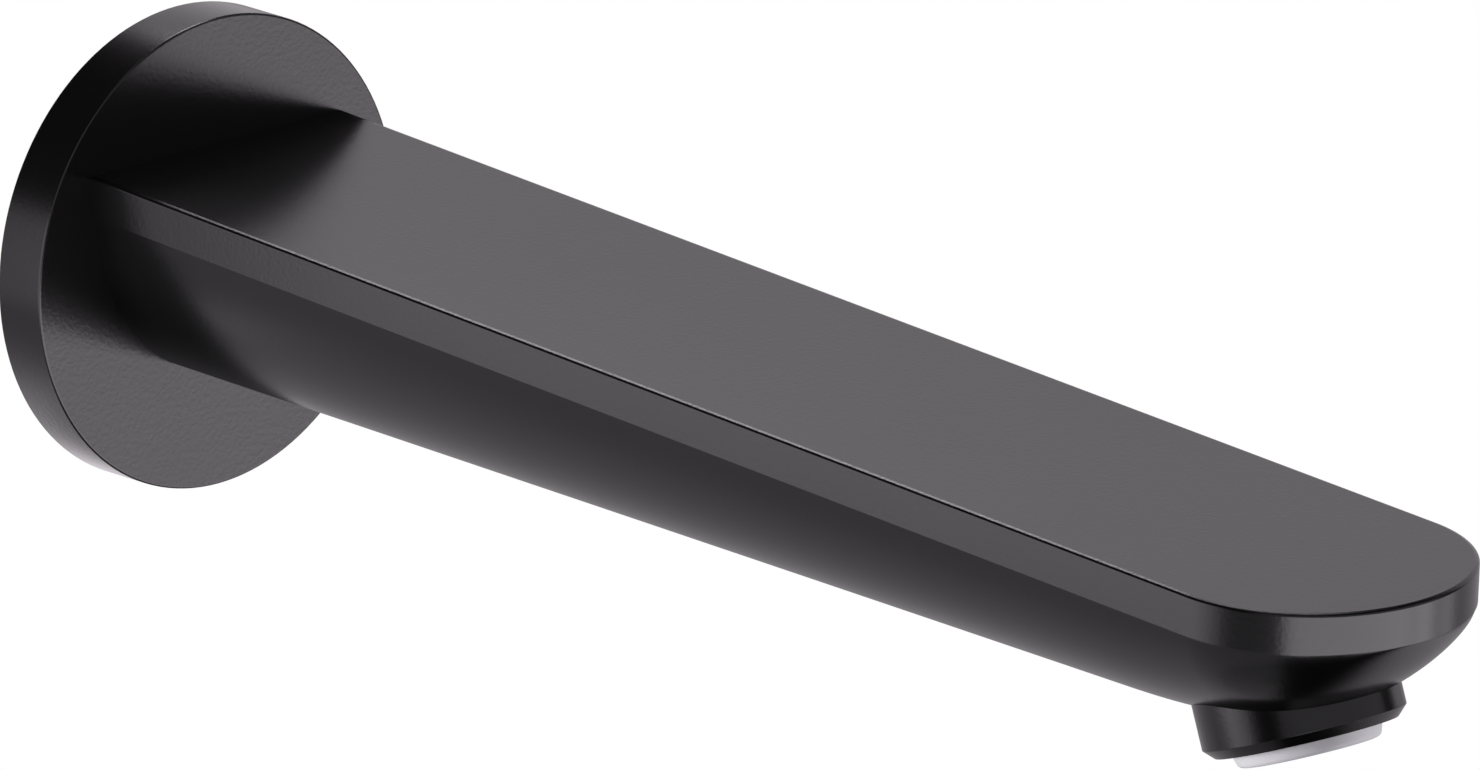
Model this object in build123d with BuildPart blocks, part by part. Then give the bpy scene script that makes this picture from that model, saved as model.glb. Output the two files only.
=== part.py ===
"""Wall-mounted bath spout with a flat deck, a boat-shaped underside and a slanted aerator.

The wall is the XZ plane. The inlet axis is Y, and the spout reaches out along -Y.
"""

from build123d import *

import os
from math import cos, hypot, pi, radians, sin, sqrt

# Wall flange, a turned cup with its open side to the wall
flange_diameter = 65.4
flange_depth = 8.0
flange_plate = 3.5
flange_rim = 3.6
flange_edge = 0.3
flange_back_edge = 0.1
flange_rebate = 1.5
flange_seal_thickness = 3.0
flange_seal_width = 2.5

# Spout body, measured along its deck, which falls gently away from the wall
spout_reach = 236.8
spout_width = 46.0
deck_height = 15.65
deck_fall = 3.2
deck_edge = 0.5
band_height = 5.6
crease_ledge = 0.1
nose_length = 20.7
body_wall = 3.0

# Underside of the body: its depth below the band, and the line of the keel in the bow
hull_depth_at_wall = 25.9
hull_depth_at_bow = 18.4
hull_crease_angle = 8.0
bow_length = 42.4
bow_rear_handle = 31.7
bow_front_handle = 12.3
bow_angle = 49.0
straight_stations = 20
bow_stations = 13

# Outlet boss under the nose, square to the jet
outlet_setback = 20.0
outlet_drop = 24.55
jet_angle = 16.2
boss_diameter = 27.3
boss_height = 15.5
boss_chamfer = 1.35
channel_setback = 25.0
throat_diameter = 18.0
throat_length = 6.0

# Shell of the aerator, which screws into the M24x1 thread of the boss
aerator_thread = 24.0
thread_clearance = 0.1
shell_wall = 1.7
shell_step_depth = 1.1
skirt_diameter = 20.2
skirt_taper = 0.6
skirt_proud = 1.95
skirt_rounding = 0.8
mouth_bore_diameter = 17.2
lip_width = 0.7
lip_height = 0.5

# Stack inside the aerator, from the honeycomb outlet up to the gasket
grid_thickness = 2.6
grid_rim = 0.9
cell_width = 1.9
cell_web = 0.35
screen_thickness = 0.4
spacer_height = 0.8
spacer_width = 1.1
splitter_rim_height = 0.8
splitter_thickness = 1.4
splitter_hole = 1.1
splitter_inner_circle = 9.0
splitter_inner_count = 12
splitter_outer_circle = 15.0
splitter_outer_count = 20
regulator_thickness = 3.5
regulator_ring_circle = 11.0
regulator_ring_section = 1.6
regulator_ring_play = 0.2
regulator_groove_depth = 2.0
regulator_hole = 1.2
regulator_hole_count = 8
sieve_flange = 0.8
sieve_rise = 3.6
sieve_wall = 0.7
sieve_base_diameter = 16.6
sieve_top_diameter = 11.0
sieve_hole = 0.9
sieve_hole_circle = 6.4
sieve_hole_count = 12
sieve_slot = 0.8
sieve_slot_count = 14
gasket_thickness = 1.5
gasket_bore = 17.8

# Neck of the body, which carries the flange, and the threaded nipple that it plugs on to
neck_diameter = 30.0
neck_clearance = 0.15
neck_ring_section = 1.55
nipple_diameter = 20.0
nipple_length = 25.0
nipple_bore = 11.5
nipple_lead = 0.8
nipple_hexagon = 12.0
nipple_hexagon_depth = 10.0
nipple_shoulder_diameter = 25.0
nipple_shoulder = 2.5
nipple_gap = 0.3
wall_thread = 20.9
wall_thread_length = 13.0
wall_thread_lead = 1.0
wall_thread_runout = 0.5
seal_ring_thickness = 1.5
seal_ring_width = 1.7
seal_ring_clearance = 0.15
o_ring_section = 1.6
o_ring_play = 0.3
o_ring_setback = 2.5
o_ring_spacing = 4.0

# Set screw that holds the body on the nipple, from below
set_screw_diameter = 5.0
set_screw_length = 6.0
set_screw_hexagon = 2.5
set_screw_hexagon_depth = 3.0
set_screw_distance = 17.0
set_screw_bite = 0.95
set_screw_point = 1.25
set_groove_floor = 3.0

# Gap between pieces that fit together
fit = 0.05

# The deck plane: X is across the spout, -Y runs out along the deck and Z is up from it
fall = radians(deck_fall)
deck = Plane(origin=(0, 0, deck_height), x_dir=(1, 0, 0), z_dir=(0, -sin(fall), cos(fall)))
half_width = spout_width / 2
nose_start = spout_reach - nose_length
bow_start = spout_reach - bow_length

# The mouth plane of the outlet boss: Z runs up into the spout, against the jet
jet = radians(deck_fall + jet_angle)
mouth = Plane(
    origin=deck.from_local_coords((0, outlet_setback - spout_reach, -outlet_drop)),
    x_dir=(1, 0, 0),
    z_dir=(0, sin(jet), cos(jet)),
)
jet_axis = Axis(mouth.origin, mouth.z_dir)
jet_section = Plane(origin=mouth.origin, x_dir=(1, 0, 0), z_dir=(0, -cos(jet), sin(jet)))

# The wall plane, whose Z is the way out along the inlet axis
wall = Plane.XZ
flange_radius = flange_diameter / 2
rebate_radius = flange_radius - flange_rim + flange_rebate
neck_radius = neck_diameter / 2
nipple_radius = nipple_diameter / 2

# Heights of the aerator's pieces above the mouth, each standing on the one before
lip_floor = -skirt_proud
grid_floor = lip_floor + lip_height
lower_screen_floor = grid_floor + grid_thickness + fit
spacer_floor = lower_screen_floor + screen_thickness
upper_screen_floor = spacer_floor + spacer_height
splitter_floor = upper_screen_floor + screen_thickness
splitter_plate_floor = splitter_floor + splitter_rim_height
regulator_floor = splitter_plate_floor + splitter_thickness
regulator_groove_floor = regulator_floor + regulator_thickness - regulator_groove_depth
sieve_floor = regulator_floor + regulator_thickness
sieve_dome_floor = sieve_floor + sieve_flange
gasket_floor = sieve_dome_floor + 2 * fit
aerator_seat = gasket_floor + gasket_thickness
shell_radius = aerator_thread / 2 - thread_clearance
shell_bore = shell_radius - shell_wall
stack_radius = shell_bore - 2 * fit
mouth_bore = mouth_bore_diameter / 2

# Distances of the connection's pieces from the wall
shoulder_end = seal_ring_thickness + nipple_shoulder
neck_end = shoulder_end + nipple_gap
nipple_end = shoulder_end + nipple_length
channel_start = nipple_end + nipple_gap
channel_end = spout_reach - channel_setback
outer_ring_at = nipple_end - o_ring_setback
inner_ring_at = outer_ring_at - o_ring_spacing
neck_groove_depth = neck_ring_section - neck_clearance + 2 * fit
neck_groove_width = neck_ring_section + o_ring_play
neck_ring_at = flange_depth - flange_plate / 2
screw_tip = nipple_radius - set_screw_bite


def station(distance):
    """The plane square to the deck at this distance from the wall, with Y up."""
    return Plane(
        origin=deck.from_local_coords((0, -distance, 0)),
        x_dir=(1, 0, 0),
        z_dir=(0, -cos(fall), -sin(fall)),
    )


def hull_section(distance, width, depth, top):
    """A cross-section: upright sides down to the crease, then an elliptical bottom."""
    lean = radians(hull_crease_angle)
    radius_x = width / cos(lean)
    radius_y = depth / (1 - sin(lean))
    with BuildSketch(station(distance)) as section:
        with BuildLine():
            arc = EllipticalCenterArc(
                (0, radius_y * sin(lean) - band_height),
                radius_x,
                radius_y,
                start_angle=180 + hull_crease_angle,
                arc_size=180 - 2 * hull_crease_angle,
            )
            Polyline(arc @ 1, (width, top), (-width, top), arc @ 0)
        make_face()
    return section.sketch


def hull_width(distance):
    """Half the width of the hull, just inside the plan outline and its elliptical nose."""
    width = half_width - crease_ledge
    into_nose = max(0.0, distance - nose_start) / (nose_length - crease_ledge)
    return width * sqrt(1 - into_nose**2)


def hull_depth(distance):
    """Depth of the straight run of the keel below the band."""
    return hull_depth_at_wall + (hull_depth_at_bow - hull_depth_at_wall) * distance / bow_start


def disc(plane, radius, floor, height, mode=Mode.ADD):
    """A round disc in the part being made, from this height above the plane."""
    with BuildSketch(plane.offset(floor)) as face:
        Circle(radius)
    extrude(face.sketch, amount=height, mode=mode)


def band(plane, outer, inner, floor, height, mode=Mode.ADD):
    """A flat ring in the part being made, from this height above the plane."""
    with BuildSketch(plane.offset(floor)) as face:
        Circle(outer)
        Circle(inner, mode=Mode.SUBTRACT)
    extrude(face.sketch, amount=height, mode=mode)


def o_ring(plane, radius, section, middle):
    """A ring of round section in the part being made, centred this far above the plane."""
    with Locations(plane.offset(middle)):
        Torus(radius, section / 2)


# Keel of the bow, drawn as distance from the wall against depth below the band
keel_slope = (hull_depth_at_bow - hull_depth_at_wall) / bow_start
bow_rise = radians(bow_angle)
with BuildLine(mode=Mode.PRIVATE):
    keel = Bezier(
        (bow_start, hull_depth_at_bow),
        (bow_start + bow_rear_handle, hull_depth_at_bow + bow_rear_handle * keel_slope),
        (spout_reach - bow_front_handle * cos(bow_rise), bow_front_handle * sin(bow_rise)),
        (spout_reach - crease_ledge, 0),
    )

# Hull: one loft over even stations, from behind the flange to the end of the nose
hull_top = -band_height / 2
stations = []
for index in range(-1, straight_stations):
    distance = bow_start * index / straight_stations
    stations.append((distance, hull_depth(distance)))
for index in range(bow_stations):
    point = keel @ sin(index / bow_stations * pi / 2)
    stations.append((point.X, point.Y))
with BuildPart() as hull:
    loft([hull_section(at, hull_width(at), depth, hull_top) for at, depth in stations])

# Outlet boss, a round stub with a chamfered mouth
with BuildPart() as boss:
    disc(mouth, boss_diameter / 2, 0, boss_height)
    chamfer(boss.faces().sort_by(jet_axis)[0].edges(), boss_chamfer)

# Water channel, the core of the casting
with BuildPart() as channel:
    for at in (channel_start, channel_end):
        inner_width = half_width - body_wall
        add(hull_section(at, inner_width, hull_depth(at) - body_wall, -body_wall))
    loft(ruled=True)

# Spout body: deck slab, hull, boss and neck in one casting
with BuildPart() as spout_body:
    with BuildSketch(deck):
        with BuildLine():
            nose = EllipticalCenterArc(
                (0, -nose_start), half_width, nose_length, start_angle=180, arc_size=180
            )
            Polyline(nose @ 1, (half_width, 0), (-half_width, 0), nose @ 0)
        make_face()
    extrude(amount=-band_height)
    fillet(spout_body.faces().sort_by(Axis(deck.origin, deck.z_dir))[-1].edges(), deck_edge)
    add(hull.part)
    add(boss.part)
    split(bisect_by=wall.offset(flange_depth), keep=Keep.TOP)
    add(channel.part, mode=Mode.SUBTRACT)
    with BuildSketch(wall.offset(neck_end)):
        Circle(neck_radius)
    extrude(until=Until.NEXT)
    groove_floor = neck_ring_at - neck_groove_width / 2
    groove_root = neck_radius - neck_groove_depth
    band(wall, neck_radius + fit, groove_root, groove_floor, neck_groove_width, Mode.SUBTRACT)
    disc(wall, nipple_radius + fit, neck_end, channel_start - neck_end + body_wall, Mode.SUBTRACT)
    with BuildSketch(Plane.XY.offset(-flange_radius)):
        with Locations((0, -set_screw_distance)):
            Circle(set_screw_diameter / 2)
    extrude(amount=flange_radius - screw_tip, mode=Mode.SUBTRACT)
    disc(mouth, aerator_thread / 2, 0, aerator_seat, Mode.SUBTRACT)
    disc(mouth, throat_diameter / 2, aerator_seat, throat_length, Mode.SUBTRACT)

# Wall flange: slips over the neck and covers the hole in the wall
with BuildPart() as wall_flange:
    disc(wall, flange_radius, 0, flange_depth)
    fillet(wall_flange.faces().sort_by(Axis.Y)[0].edges(), flange_edge)
    fillet(wall_flange.faces().sort_by(Axis.Y)[-1].edges(), flange_back_edge)
    disc(wall, flange_radius - flange_rim, 0, flange_depth - flange_plate, Mode.SUBTRACT)
    disc(wall, rebate_radius, 0, flange_seal_thickness, Mode.SUBTRACT)
    disc(wall, neck_radius + neck_clearance, 0, flange_depth, Mode.SUBTRACT)

# Flange seal: a rubber band in the flange's rebate, flat against the wall
with BuildPart() as flange_seal:
    seal_radius = rebate_radius - fit
    band(wall, seal_radius, seal_radius - flange_seal_width, 0, flange_seal_thickness)

# Neck O-ring: lets the flange slide on the neck with a light grip
with BuildPart() as neck_o_ring:
    ring_outside = neck_radius + neck_clearance - fit
    o_ring(wall, ring_outside - neck_ring_section / 2, neck_ring_section, neck_ring_at)

# Connection nipple: G1/2 thread for the wall, shoulder, and a plug with two O-ring grooves
with BuildPart() as connection_nipple:
    disc(wall, wall_thread / 2, -wall_thread_length, wall_thread_length)
    chamfer(connection_nipple.faces().sort_by(Axis.Y)[-1].edges(), wall_thread_lead)
    disc(wall, wall_thread / 2 - wall_thread_runout, 0, seal_ring_thickness)
    disc(wall, nipple_shoulder_diameter / 2, seal_ring_thickness, nipple_shoulder)
    disc(wall, nipple_radius, shoulder_end, nipple_length)
    chamfer(connection_nipple.faces().sort_by(Axis.Y)[0].edges(), nipple_lead)
    for at in (inner_ring_at, outer_ring_at):
        width = o_ring_section + o_ring_play
        root = nipple_radius - o_ring_section - fit
        band(wall, nipple_radius + fit, root, at - width / 2, width, Mode.SUBTRACT)
    with BuildSketch(Plane.XY):
        with BuildLine():
            depth = set_screw_bite + fit
            half_floor = set_groove_floor / 2
            Polyline(
                (nipple_radius, half_floor + depth - set_screw_distance),
                (nipple_radius - depth, half_floor - set_screw_distance),
                (nipple_radius - depth, -half_floor - set_screw_distance),
                (nipple_radius, -half_floor - depth - set_screw_distance),
                close=True,
            )
        make_face()
    revolve(axis=Axis.Y, mode=Mode.SUBTRACT)
    full_length = nipple_end + wall_thread_length
    disc(wall, nipple_bore / 2, -wall_thread_length, full_length, Mode.SUBTRACT)
    with BuildSketch(wall.offset(nipple_end)):
        RegularPolygon(nipple_hexagon / 2, 6, major_radius=False)
    extrude(amount=-nipple_hexagon_depth, mode=Mode.SUBTRACT)

# Seal ring: fibre washer between the wall fitting and the nipple's shoulder
with BuildPart() as nipple_seal_ring:
    washer_bore = wall_thread / 2 + seal_ring_clearance
    washer_radius = washer_bore + seal_ring_width
    band(wall, washer_radius, washer_bore, 0, seal_ring_thickness)

# The two O-rings that seal the body on the nipple
plug_ring_radius = nipple_radius - o_ring_section / 2
with BuildPart() as nipple_o_ring_inner:
    o_ring(wall, plug_ring_radius, o_ring_section, inner_ring_at)
with BuildPart() as nipple_o_ring_outer:
    o_ring(wall, plug_ring_radius, o_ring_section, outer_ring_at)

# Set screw: a grub screw whose flat point stands in the nipple's groove
with BuildPart() as set_screw:
    screw = Plane(origin=(0, -set_screw_distance, -screw_tip), z_dir=(0, 0, -1))
    disc(screw, set_screw_diameter / 2 - fit, 0, set_screw_length)
    chamfer(set_screw.faces().sort_by(Axis.Z)[-1].edges(), set_screw_point)
    with BuildSketch(screw.offset(set_screw_length)):
        RegularPolygon(set_screw_hexagon / 2, 6, major_radius=False)
    extrude(amount=-set_screw_hexagon_depth, mode=Mode.SUBTRACT)

# Aerator shell: threaded above the step, with the pale skirt showing below the boss
with BuildPart() as aerator_shell:
    with BuildSketch(jet_section) as shell_profile:
        with BuildLine():
            skirt_top = skirt_diameter / 2
            skirt_foot = skirt_top - skirt_taper
            Polyline(
                (shell_bore, gasket_floor),
                (shell_radius, gasket_floor),
                (shell_radius, shell_step_depth),
                (skirt_top, shell_step_depth),
                (skirt_top, 0),
                (skirt_foot, lip_floor),
                (mouth_bore - lip_width, lip_floor),
                (mouth_bore - lip_width, grid_floor),
                (mouth_bore, grid_floor),
                (mouth_bore, lower_screen_floor),
                (shell_bore, lower_screen_floor),
                close=True,
            )
        make_face()
        foot = Vector(skirt_foot, lip_floor)
        fillet(shell_profile.vertices().sort_by_distance(foot)[0], skirt_rounding)
    revolve(axis=jet_axis)

# Outlet grid: a honeycomb that straightens the jet
with BuildPart() as outlet_grid:
    grid_radius = mouth_bore - fit
    cell_pitch = cell_width + cell_web
    cell_corner = cell_width / sqrt(3)
    rows = int(grid_radius / cell_pitch) + 1
    disc(mouth, grid_radius, grid_floor, grid_thickness)
    with BuildSketch(mouth.offset(grid_floor)):
        for row in range(-rows, rows + 1):
            for column in range(-2 * rows, 2 * rows + 1):
                x = cell_pitch * (column + row / 2)
                y = cell_pitch * row * sqrt(3) / 2
                if hypot(x, y) + cell_corner <= grid_radius - grid_rim:
                    with Locations((x, y)):
                        RegularPolygon(cell_corner, 6, rotation=30)
    extrude(amount=grid_thickness, mode=Mode.SUBTRACT)

# The two screens and the ring that holds them apart
with BuildPart() as lower_screen:
    disc(mouth, stack_radius, lower_screen_floor, screen_thickness)
with BuildPart() as screen_spacer:
    band(mouth, stack_radius, stack_radius - spacer_width, spacer_floor, spacer_height)
with BuildPart() as upper_screen:
    disc(mouth, stack_radius, upper_screen_floor, screen_thickness)

# Jet splitter: a plate on a rim, with two circles of small holes
with BuildPart() as jet_splitter:
    band(mouth, stack_radius, stack_radius - spacer_width, splitter_floor, splitter_rim_height)
    disc(mouth, stack_radius, splitter_plate_floor, splitter_thickness)
    with BuildSketch(mouth.offset(splitter_plate_floor)):
        with PolarLocations(splitter_inner_circle / 2, splitter_inner_count):
            Circle(splitter_hole / 2)
        with PolarLocations(splitter_outer_circle / 2, splitter_outer_count):
            Circle(splitter_hole / 2)
    extrude(amount=splitter_thickness, mode=Mode.SUBTRACT)

# Flow regulator: a disc whose groove holds an O-ring over a circle of holes
with BuildPart() as flow_regulator:
    ring_circle = regulator_ring_circle / 2
    half_groove = (regulator_ring_section + regulator_ring_play) / 2
    disc(mouth, stack_radius, regulator_floor, regulator_thickness)
    band(
        mouth,
        ring_circle + half_groove,
        ring_circle - half_groove,
        regulator_groove_floor,
        regulator_groove_depth,
        Mode.SUBTRACT,
    )
    with BuildSketch(mouth.offset(regulator_floor)):
        with PolarLocations(ring_circle, regulator_hole_count):
            Circle(regulator_hole / 2)
    extrude(amount=regulator_thickness, mode=Mode.SUBTRACT)
with BuildPart() as regulator_o_ring:
    ring_middle = regulator_groove_floor + regulator_ring_section / 2
    o_ring(mouth, ring_circle, regulator_ring_section, ring_middle)

# Sieve: a slotted dome that keeps grit out of the aerator
with BuildPart() as aerator_sieve:
    base = sieve_base_diameter / 2
    top = sieve_top_diameter / 2
    dome_top = sieve_dome_floor + sieve_rise
    with BuildSketch(jet_section):
        with BuildLine():
            Polyline(
                (stack_radius, sieve_floor),
                (stack_radius, sieve_dome_floor),
                (base, sieve_dome_floor),
                (top, dome_top),
                (0, dome_top),
                (0, dome_top - sieve_wall),
                (top - sieve_wall, dome_top - sieve_wall),
                (base - sieve_wall, sieve_floor),
                close=True,
            )
        make_face()
    revolve(axis=jet_axis)
    with BuildSketch(mouth.offset(dome_top - sieve_wall)):
        with PolarLocations(sieve_hole_circle / 2, sieve_hole_count):
            Circle(sieve_hole / 2)
    extrude(amount=sieve_wall, mode=Mode.SUBTRACT)
    with BuildSketch(mouth.offset(sieve_dome_floor + sieve_wall)):
        with PolarLocations(base, sieve_slot_count):
            Rectangle(base - top + 2 * sieve_wall, sieve_slot)
    extrude(amount=sieve_rise - 2 * sieve_wall, mode=Mode.SUBTRACT)

# Gasket: seals the aerator against the seat in the boss
with BuildPart() as aerator_gasket:
    gasket_radius = aerator_thread / 2 - thread_clearance - fit
    band(mouth, gasket_radius, gasket_bore / 2, gasket_floor, gasket_thickness)

os.makedirs("parts", exist_ok=True)
wall_flange.part.label = "wall_flange"
export_step(wall_flange.part, "parts/wall_flange.step")
flange_seal.part.label = "flange_seal"
export_step(flange_seal.part, "parts/flange_seal.step")
neck_o_ring.part.label = "neck_o_ring"
export_step(neck_o_ring.part, "parts/neck_o_ring.step")
spout_body.part.label = "spout_body"
export_step(spout_body.part, "parts/spout_body.step")
connection_nipple.part.label = "connection_nipple"
export_step(connection_nipple.part, "parts/connection_nipple.step")
nipple_seal_ring.part.label = "nipple_seal_ring"
export_step(nipple_seal_ring.part, "parts/nipple_seal_ring.step")
nipple_o_ring_inner.part.label = "nipple_o_ring_inner"
export_step(nipple_o_ring_inner.part, "parts/nipple_o_ring_inner.step")
nipple_o_ring_outer.part.label = "nipple_o_ring_outer"
export_step(nipple_o_ring_outer.part, "parts/nipple_o_ring_outer.step")
set_screw.part.label = "set_screw"
export_step(set_screw.part, "parts/set_screw.step")
aerator_shell.part.label = "aerator_shell"
export_step(aerator_shell.part, "parts/aerator_shell.step")
outlet_grid.part.label = "outlet_grid"
export_step(outlet_grid.part, "parts/outlet_grid.step")
lower_screen.part.label = "lower_screen"
export_step(lower_screen.part, "parts/lower_screen.step")
screen_spacer.part.label = "screen_spacer"
export_step(screen_spacer.part, "parts/screen_spacer.step")
upper_screen.part.label = "upper_screen"
export_step(upper_screen.part, "parts/upper_screen.step")
jet_splitter.part.label = "jet_splitter"
export_step(jet_splitter.part, "parts/jet_splitter.step")
flow_regulator.part.label = "flow_regulator"
export_step(flow_regulator.part, "parts/flow_regulator.step")
regulator_o_ring.part.label = "regulator_o_ring"
export_step(regulator_o_ring.part, "parts/regulator_o_ring.step")
aerator_sieve.part.label = "aerator_sieve"
export_step(aerator_sieve.part, "parts/aerator_sieve.step")
aerator_gasket.part.label = "aerator_gasket"
export_step(aerator_gasket.part, "parts/aerator_gasket.step")
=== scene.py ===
"""Dresses the bath spout: its coated casting, the flange, the aerator and the wall connection."""

from functools import partial
from math import cos, pi, radians, sin

import bmesh
import bpy
from mathutils import Matrix, Vector


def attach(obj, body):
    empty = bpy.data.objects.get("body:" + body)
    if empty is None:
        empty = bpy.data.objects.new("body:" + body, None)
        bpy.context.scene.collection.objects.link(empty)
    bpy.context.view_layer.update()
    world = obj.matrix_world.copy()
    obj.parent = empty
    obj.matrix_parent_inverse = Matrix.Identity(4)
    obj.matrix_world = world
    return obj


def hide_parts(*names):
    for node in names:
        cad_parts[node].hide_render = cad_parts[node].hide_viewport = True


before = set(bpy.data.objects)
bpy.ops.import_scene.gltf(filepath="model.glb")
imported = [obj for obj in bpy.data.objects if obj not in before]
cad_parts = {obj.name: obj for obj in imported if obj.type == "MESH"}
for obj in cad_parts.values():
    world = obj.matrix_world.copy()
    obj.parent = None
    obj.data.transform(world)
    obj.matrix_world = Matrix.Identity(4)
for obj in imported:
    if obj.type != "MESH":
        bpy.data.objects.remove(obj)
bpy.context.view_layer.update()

# Spout body: one brass casting with a flat deck, a boat-shaped underside and a round outlet
# boss, sanded, polished and then coated in satin black. The coating flows out as it cures,
# which leaves it smooth with a faint orange-peel texture.
HALF_WIDTH = 0.023
REACH = 0.2368
DECK_HEIGHT = 0.01565
DECK_FALL = radians(3.2)
BAND_HEIGHT = 0.0056
NOSE_LENGTH = 0.0207
CREASE_LEDGE = 0.0001
WALL_DEPTH = 0.0259
BOW_DEPTH = 0.0184
BOW_LENGTH = 0.0424
BOW_REAR_HANDLE = 0.0317
BOW_FRONT_HANDLE = 0.0123
BOW_ANGLE = radians(49)
CREASE_ANGLE = radians(8)
FLANGE_DEPTH = 0.008
MOUTH_FROM_NOSE = 0.02
MOUTH_BELOW_DECK = 0.02455
MOUTH_TO_DECK = radians(16.2)

deck_frame = Matrix.Translation((0, 0, DECK_HEIGHT)) @ Matrix.Rotation(DECK_FALL, 4, "X")
wall_frame = Matrix.Rotation(radians(90), 4, "X")
mouth_middle = deck_frame @ Vector((0, MOUTH_FROM_NOSE - REACH, -MOUTH_BELOW_DECK))
mouth_turn = Matrix.Rotation(-(DECK_FALL + MOUTH_TO_DECK), 4, "X")
mouth_frame = Matrix.Translation(mouth_middle) @ mouth_turn


def put(tree, kind, feeds=None, **settings):
    """Adds a node, with its settings, and feeds its inputs by name or number."""
    node = tree.nodes.new(kind)
    for key, value in settings.items():
        setattr(node, key, value)
    for key, value in (feeds or {}).items():
        if isinstance(value, bpy.types.NodeSocket):
            tree.links.new(value, node.inputs[key])
        else:
            node.inputs[key].default_value = value
    return node


def calc(tree, operation, *values, **settings):
    """The result of one Math node."""
    feeds = dict(enumerate(values))
    return put(tree, "ShaderNodeMath", feeds, operation=operation, **settings).outputs[0]


def form_tree(name, sizes):
    """A Geometry Nodes tree with a named input for each size, given as its kind and value."""
    tree = bpy.data.node_groups.new(name, "GeometryNodeTree")
    tree.interface.new_socket("Geometry", in_out="OUTPUT", socket_type="NodeSocketGeometry")
    for size, (kind, _) in sizes.items():
        tree.interface.new_socket(size, in_out="INPUT", socket_type=f"NodeSocket{kind}")
    return tree, tree.nodes.new("NodeGroupInput").outputs


def close_tree(tree, geometry, material):
    """Ends a tree in Realize Instances and Set Material."""
    real = put(tree, "GeometryNodeRealizeInstances", {0: geometry})
    dressed = put(tree, "GeometryNodeSetMaterial", {0: real.outputs[0], "Material": material})
    put(tree, "NodeGroupOutput", {0: dressed.outputs[0]})


def grown(name, tree, sizes):
    """A plain mesh object from what a Geometry Nodes tree makes with these sizes."""
    seed = bpy.data.objects.new(name + "_seed", bpy.data.meshes.new(name + "_seed"))
    bpy.context.scene.collection.objects.link(seed)
    modifier = seed.modifiers.new("form", "NODES")
    modifier.node_group = tree
    for item in tree.interface.items_tree:
        if item.in_out == "INPUT":
            modifier[item.identifier] = sizes[item.name][1]
    return finished(name, seed)


def finished(name, rough):
    """Turns an object and its modifiers into a plain mesh object, and drops the rough one."""
    bpy.context.view_layer.update()
    shape = rough.evaluated_get(bpy.context.evaluated_depsgraph_get())
    mesh = bpy.data.meshes.new_from_object(shape)
    mesh.name = name
    piece = bpy.data.objects.new(name, mesh)
    bpy.context.scene.collection.objects.link(piece)
    bpy.data.objects.remove(rough)
    return piece


def mesh_object(name, bm, place=None):
    """A mesh object from a bmesh, with its place in its mesh and its faces outwards."""
    if place is not None:
        bmesh.ops.transform(bm, matrix=place, verts=bm.verts)
    bmesh.ops.recalc_face_normals(bm, faces=bm.faces)
    mesh = bpy.data.meshes.new(name)
    bm.to_mesh(mesh)
    bm.free()
    piece = bpy.data.objects.new(name, mesh)
    bpy.context.scene.collection.objects.link(piece)
    return piece


def turned(name, profile, place, segments=128):
    """A closed turned shape from (radius, height) points; a zero radius makes a pole."""
    bm = bmesh.new()
    rings = []
    for radius, height in profile:
        if radius == 0:
            rings.append([bm.verts.new((0, 0, height))] * segments)
            continue
        turns = (2 * pi * step / segments for step in range(segments))
        rings.append([bm.verts.new((radius * cos(a), radius * sin(a), height)) for a in turns])
    for low, high in zip(rings, rings[1:] + rings[:1]):
        for step in range(segments):
            after = (step + 1) % segments
            corners = [low[step], low[after], high[after], high[step]]
            corners = list(dict.fromkeys(corners))
            if len(corners) > 2:
                bm.faces.new(corners)
    return mesh_object(name, bm, place)


def machined(name, blank, steps, sharp_angle):
    """Joins solids to a blank or cuts them out of it, in order. Flat faces stay flat, and edges
    past the angle stay sharp."""
    for action, other in steps:
        cut = blank.modifiers.new(other.name, "BOOLEAN")
        cut.operation = action
        cut.solver = "EXACT"
        cut.object = other
    shaped = finished(name + "_shape", blank)
    for _, other in steps:
        bpy.data.objects.remove(other)
    shaped.data.shade_smooth()
    shaped.data.set_sharp_from_angle(angle=radians(sharp_angle))
    shaped.modifiers.new("weighted", "WEIGHTED_NORMAL").keep_sharp = True
    return finished(name, shaped)


def give_finish(piece, finish):
    """Leaves this one material on a piece."""
    piece.data.materials.clear()
    piece.data.materials.append(finish)


# The coating's texture, also used by the moulded and turned pieces: a fine grain in the
# surface, a slow drift in how glossy it is, and soft patches that can carry a second colour.
DRIFT_PER_METRE = 45.0
PATCH_CONTRAST = 3.0
grain = bpy.data.node_groups.new("surface_grain", "ShaderNodeTree")
for socket, value in {"Grain Size": 0.0008, "Gloss": 0.2, "Drift": 0.03}.items():
    item = grain.interface.new_socket(socket, in_out="INPUT", socket_type="NodeSocketFloat")
    item.default_value = value
for socket in ("Height", "Roughness", "Tone"):
    grain.interface.new_socket(socket, in_out="OUTPUT", socket_type="NodeSocketFloat")
given = grain.nodes.new("NodeGroupInput").outputs
where = grain.nodes.new("ShaderNodeTexCoord").outputs["Object"]
fineness = calc(grain, "DIVIDE", 1.0, given["Grain Size"])
peel = put(grain, "ShaderNodeTexNoise", {"Vector": where, "Scale": fineness, "Detail": 2.0})
slow = put(grain, "ShaderNodeTexNoise", {"Vector": where, "Scale": DRIFT_PER_METRE, "Detail": 3.0})
centred = calc(grain, "SUBTRACT", slow.outputs["Fac"], 0.5)
drifted = calc(grain, "MULTIPLY_ADD", centred, given["Drift"], given["Gloss"])
put(grain, "NodeGroupOutput", {
    "Height": peel.outputs["Fac"],
    "Roughness": drifted,
    "Tone": calc(grain, "MULTIPLY_ADD", centred, PATCH_CONTRAST, 0.5, use_clamp=True),
})


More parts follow.
